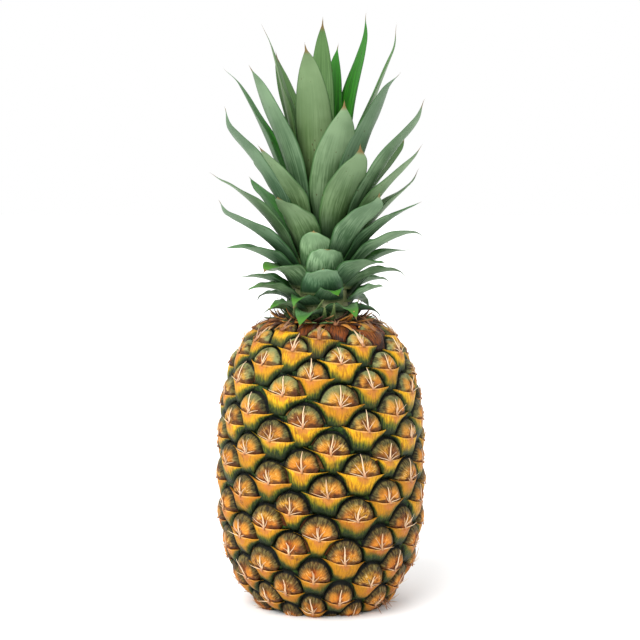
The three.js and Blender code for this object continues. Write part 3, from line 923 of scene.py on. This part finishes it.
GOLD_DARK = (0.42, 0.22, 0.008)
GOLD_LIGHT = (0.74, 0.47, 0.014)
BRACT_RUST = (0.36, 0.105, 0.012)
OLIVE_DARK = (0.045, 0.080, 0.008)
OLIVE_LIGHT = (0.23, 0.24, 0.012)
FOOT_GREEN = (0.014, 0.034, 0.006)
DRY_PATCH = (0.50, 0.22, 0.085)
WITHERED_AND_SHADED_DARK = (0.045, 0.013, 0.004)
WITHERED_LIGHT = (0.30, 0.10, 0.014)
BLOT_BROWN = (0.13, 0.05, 0.015)
LIP_HIGHLIGHT = (0.80, 0.50, 0.22)
WING_OLIVE = (0.16, 0.17, 0.03)


def bract_finish():
    """Golden yellow under the lip, drying to tan along it with a pale painted highlight along its
    middle, and running through olive to dark green at the foot. The dark top row is withered and
    partly painted shade under the crown."""
    f = Finish("bract_flesh")
    a, b = f.place()
    chance, height, other = f.tones()
    spot = f.object_place()
    broad = f.noise(spot, 70, 3)
    fine = f.noise(spot, 500, 4, 0.6)
    streak = f.noise(f.vector(a * 9, b * 1.2, chance * 40), 2.2, 4, 0.6)
    low = height.step(0.6, 0.08)
    gold = f.mix(GOLD_DARK, GOLD_LIGHT, (streak * 0.6 + broad * 0.4).step(0.38, 0.60))
    mottle = broad * 0.5 + streak * 0.5
    rusty = (low * 0.75 + other.step(0.55, 0.95) * 0.5) * mottle.step(0.38, 0.58)
    gold = f.mix(gold, BRACT_RUST, rusty)
    green = f.mix(OLIVE_DARK, OLIVE_LIGHT, streak.step(0.4, 0.65) * (1 - low * 0.6))
    side = a.abs()
    turned = b + side * 0.38 + (broad - 0.5) * 1.1 + (chance - 0.5) * 0.35 - 0.14
    colour = f.mix(gold, green, turned.step(0.20, 0.66))
    deep = b + side * 0.20 + (broad - 0.5) * 0.4 + (fine - 0.5) * 0.25 + (chance - 0.5) * 0.2
    colour = f.mix(colour, FOOT_GREEN, deep.step(0.56, 0.98))
    dry = (a * a * 9 + b * 2.0 + (fine - 0.5) * 1.2).step(1.0, 0.3)
    colour = f.mix(colour, DRY_PATCH, dry * 0.7)
    # the top row: withered brown and partly painted shade under the crown
    withered_and_shaded = f.mix(WITHERED_AND_SHADED_DARK, WITHERED_LIGHT, mottle.step(0.42, 0.62))
    colour = f.mix(colour, withered_and_shaded, (height + (chance - 0.5) * 0.06).step(0.90, 0.95) * 0.95)
    blot = f.noise(spot, 190, 4, 0.7)
    colour = f.mix(colour, BLOT_BROWN, blot.step(0.58, 0.70) * 0.55)
    # painted highlight: pale along the middle of the bract's lip
    lip = (b + (fine - 0.5) * 0.06).step(0.09, 0.02)
    lip = lip * height.step(0.95, 0.88) * side.step(0.75, 0.2)
    colour = f.mix(colour, LIP_HIGHLIGHT, lip * 0.75)
    wing = (side + (fine - 0.5) * 0.1).step(0.86, 1.0)
    colour = f.mix(colour, WING_OLIVE, wing * 0.6)
    bump = streak * 0.8 + fine * 0.4
    rough = 0.42 + fine * 0.22
    colour = f.deepen(colour, 1.4, 1.25)
    return f.finish(colour, rough, bump, BRACT_BUMP, Specular_IOR_Level=GLOSS)


DRY_FOOT = (0.46, 0.20, 0.085)
DRY_STRAW = (0.78, 0.56, 0.35)
DRY_BROWN = (0.42, 0.19, 0.05)
DRY_TOP_AND_SHADE = (0.17, 0.055, 0.014)


def dry_finish():
    """Dry bract tips: pale straw, pinkish brown at the foot, with fibres along them."""
    f = Finish("dry_bract")
    along, _ = f.place()
    chance, height, _ = f.tones()
    fine = f.noise(f.object_place(), 700, 3)
    colour = f.mix(DRY_FOOT, DRY_STRAW, (along + (fine - 0.5) * 0.5).step(0.0, 0.45))
    colour = f.mix(colour, DRY_BROWN, chance.step(0.6, 0.9) * 0.4)
    # near the crown: dry brown and partly painted shade under the leaves
    colour = f.mix(colour, DRY_TOP_AND_SHADE, height.step(0.84, 0.92) * 0.85)
    return f.finish(colour, 0.7, fine, DRY_BUMP)


NECK_DARK = (0.055, 0.016, 0.005)
NECK_RUST = (0.42, 0.16, 0.016)
NECK_FOOT_SHADE = (0.025, 0.010, 0.004)
NECK_STRAW = (0.46, 0.26, 0.08)
NECK_GREEN = (0.07, 0.14, 0.035)


def neck_finish():
    """Withered bracts round the neck: near-black brown at the foot, partly their own colour and
    partly painted shade under the leaves, orange-brown and straw along the blade, a few still
    green."""
    f = Finish("withered_bract")
    along, _ = f.place()
    chance, green, other = f.tones()
    fine = f.noise(f.object_place(), 500, 3)
    blade = f.mix(NECK_DARK, NECK_RUST, chance.step(0.35, 0.95))
    # the foot of each blade: dark brown and partly painted shade under the leaves
    colour = f.mix(NECK_FOOT_SHADE, blade, (along + (fine - 0.5) * 0.5).step(0.1, 0.55))
    end = (along + (fine - 0.5) * 0.4).step(0.65, 1.0)
    colour = f.mix(colour, NECK_STRAW, end * other.step(0.6, 0.8))
    colour = f.mix(colour, NECK_GREEN, green * 0.9)
    return f.finish(colour, 0.7, fine, NECK_BUMP)


BLOOM_DARK = (0.105, 0.185, 0.100)
BLOOM_LIGHT = (0.275, 0.375, 0.250)
HAIR_PALE = (0.38, 0.47, 0.34)
LEAF_OLIVE = (0.150, 0.215, 0.065)
LEAF_BLUE = (0.055, 0.125, 0.075)
BLADE_LIT = (0.40, 0.50, 0.37)
ROOT_SHADE = (0.018, 0.055, 0.022)
BRIGHT_DARK = (0.035, 0.150, 0.014)
BRIGHT_LIGHT = (0.085, 0.36, 0.028)
DULL_DARK = (0.120, 0.210, 0.085)
DULL_LIGHT = (0.220, 0.340, 0.160)
END_GREEN = (0.110, 0.27, 0.035)
MARGIN_GREEN = (0.030, 0.130, 0.018)
ROOT_PALE = (0.36, 0.38, 0.20)
SPOT_BROWN = (0.11, 0.065, 0.020)
TIP_BROWN = (0.12, 0.075, 0.030)
TIP_STRAW = (0.44, 0.35, 0.18)


def leaf_finish(name, gain):
    """Grey-green and bloomy outside, brighter green inside, with fine lines along the blade,
    painted shade on the lower part, painted light paler along the upper blade, a pale root, rusty
    spots and a brown dry tip. Each leaf leans a little to blue, olive or yellow."""
    f = Finish(name)
    a, t = f.place()
    chance, rank, facing = f.tones()
    spot = f.object_place()
    broad = f.noise(spot, 45, 3)
    lines = f.noise(f.vector(a * 7, t * 2.2, chance * 50), 2.0, 2, 0.5)
    wide = t.step(0.98, 0.4)
    lines = 0.5 + (lines - 0.5) * wide
    hair = 0.5 + (f.noise(f.vector(a * 15, t * 3, chance * 50), 2.0, 1, 0.5) - 0.5) * wide
    outer = f.mix(BLOOM_DARK, BLOOM_LIGHT, (lines * 0.45 + broad * 0.55).step(0.40, 0.60))
    outer = f.mix(outer, HAIR_PALE, hair.step(0.5, 0.8) * 0.40)
    old = chance.step(0.45, 0.9) * 0.40 + rank.step(0.75, 1.0) * 0.35
    outer = f.mix(outer, LEAF_OLIVE, old)
    outer = f.mix(outer, LEAF_BLUE, chance.step(0.40, 0.05) * 0.45)
    # painted light: paler along the upper blade
    outer = f.mix(outer, BLADE_LIT, t.step(0.30, 0.75) * 0.30)
    # painted shade: darker towards the root
    outer = f.mix(outer, ROOT_SHADE, t.step(0.42, 0.05) * 0.75)
    bright = f.mix(BRIGHT_DARK, BRIGHT_LIGHT, lines.step(0.35, 0.65) * (0.3 + rank * 0.7))
    dull = f.mix(DULL_DARK, DULL_LIGHT, lines.step(0.35, 0.65))
    inner = f.mix(dull, bright, chance.step(0.72, 0.38))
    inner = f.mix(inner, END_GREEN, t.step(0.65, 0.9) * rank.step(0.5, 0.2))
    clear = 0.45 + rank.step(0.0, 0.8) * 0.55 + t.step(0.6, 0.9) * 0.4
    colour = f.mix(outer, inner, facing.step(0.4, 0.6) * clear)
    margin = (a.abs() + (broad - 0.5) * 0.1).step(0.90, 1.0)
    colour = f.mix(colour, MARGIN_GREEN, margin * 0.6)
    colour = f.mix(colour, ROOT_PALE, t.step(0.10, 0.0) * 0.6)
    speckle = f.cells(f.vector(a * 2.6, t * 9, chance * 90), 1.8)
    spots = (speckle + (hair - 0.5) * 0.08).step(0.14, 0.06) * broad.step(0.48, 0.56)
    colour = f.mix(colour, SPOT_BROWN, spots * 0.8)
    dry = t + (broad - 0.5) * 0.05 + (lines - 0.5) * 0.06 + (chance - 0.5) * 0.04
    dry = dry.step(0.935, 0.965)
    colour = f.mix(colour, f.mix(TIP_BROWN, TIP_STRAW, lines.step(0.4, 0.6)), dry)
    rough = 0.46 + hair * 0.2
    colour = f.deepen(colour, 1.5, gain)
    return f.finish(colour, rough, lines, LEAF_BUMP, Specular_IOR_Level=GLOSS)


STALK_DARK = (0.20, 0.11, 0.05)
STALK_LIGHT = (0.46, 0.33, 0.18)
STEM_DARK = (0.20, 0.24, 0.09)
STEM_LIGHT = (0.34, 0.36, 0.17)


def plain_finish(name, dark, light, scale, roughness):
    """A dull fibrous finish between two colours."""
    f = Finish(name)
    grain = f.noise(f.object_place(), scale, 5, 0.65)
    fine = f.noise(f.object_place(), scale * 5, 3)
    colour = f.mix(dark, light, grain.step(0.35, 0.65))
    return f.finish(colour, roughness, grain * 0.7 + fine * 0.3, FIBRE_BUMP)


# ---- build ----
RIND = rind_finish()
BRACT = bract_finish()
DRY = dry_finish()
NECK = neck_finish()
LEAF = leaf_finish("leaf", LEAF_GAIN)
PALE_LEAF = leaf_finish("pale_leaf", PALE_LEAF_GAIN)
STALK = plain_finish("stalk_fibre", STALK_DARK, STALK_LIGHT, 260, 0.85)
STEM = plain_finish("stem_flesh", STEM_DARK, STEM_LIGHT, 200, 0.7)

make_rind(RIND)
make_bracts(BRACT)
make_spines(DRY)
make_neck(NECK)
leaves = sorted(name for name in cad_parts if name.startswith("leaf_"))
for number, name in enumerate(leaves):
    make_leaf(name, number / (len(leaves) - 1), PALE_LEAF if name in STUBBY_LEAVES else LEAF)
for name, material in (("cut_stalk", STALK), ("crown_stem", STEM)):
    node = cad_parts[name]
    node.data.materials.clear()
    node.data.materials.append(material)


# ---- the stage: a pale floor, soft lights and the camera, in metres ----
FLOOR_WHITE = 0.93
FLOOR_HALF = 30.0
FLOOR_DROP = 0.00005
KEY_STRENGTH = 3.0
KEY_SPREAD = 0.8
KEY_TURN = (math.radians(48), 0, math.radians(-35))
REAR_POWER = 6
REAR_SIZE = 1.2
REAR_PLACE = (0.2, 1.3, 1.2)
REAR_TARGET = (0, 0, 0.2)
CAMERA_PLACE = (-0.0006, -0.8877, 0.2345)
CAMERA_DIP = math.radians(4.354)
CAMERA_LENS = 85.48
CAMERA_SENSOR = 36


def add_to_scene(name, data):
    """An object in the scene that holds some data."""
    added = bpy.data.objects.new(name, data)
    bpy.context.scene.collection.objects.link(added)
    return added


def make_floor():
    """A flat square floor just under the fruit."""
    sides = ((-1, -1), (1, -1), (1, 1), (-1, 1))
    mesh = bpy.data.meshes.new("floor")
    corners = [(x * FLOOR_HALF, y * FLOOR_HALF, -FLOOR_DROP) for x, y in sides]
    mesh.from_pydata(corners, [], [(0, 1, 2, 3)])
    white = (FLOOR_WHITE, FLOOR_WHITE, FLOOR_WHITE, 1)
    mesh.materials.append(Finish("floor_white").finish(white, 0.9))
    floor = add_to_scene("floor", mesh)


def make_lights():
    """A broad sun from high on the front left, a square soft light behind, and a white world."""
    sun = bpy.data.lights.new("key", "SUN")
    sun.energy, sun.angle = KEY_STRENGTH, KEY_SPREAD
    add_to_scene("key", sun).rotation_euler = KEY_TURN
    lamp = bpy.data.lights.new("rear", "AREA")
    lamp.size, lamp.energy = REAR_SIZE, REAR_POWER
    rear = add_to_scene("rear", lamp)
    away = np.array(REAR_TARGET, float) - np.array(REAR_PLACE, float)
    rear.location = REAR_PLACE
    pitch = math.atan2(math.hypot(away[0], away[1]), -away[2])
    rear.rotation_euler = (pitch, 0, math.atan2(-away[0], away[1]))
    world = bpy.data.worlds.new("studio")
    world.use_nodes = True
    world.node_tree.nodes["Background"].inputs["Color"].default_value = (1, 1, 1, 1)
    world.node_tree.nodes["Background"].inputs["Strength"].default_value = 1.0
    bpy.context.scene.world = world
    bpy.context.scene.view_settings.view_transform = "Standard"


def make_camera():
    """The camera, in front of the fruit and looking a little down on it."""
    lens = bpy.data.cameras.new("camera")
    lens.sensor_width, lens.lens = CAMERA_SENSOR, CAMERA_LENS
    camera = add_to_scene("camera", lens)
    camera.location = CAMERA_PLACE
    camera.rotation_euler = (math.pi / 2 - CAMERA_DIP, 0, 0)
    bpy.context.scene.camera = camera


make_floor()
make_lights()
make_camera()
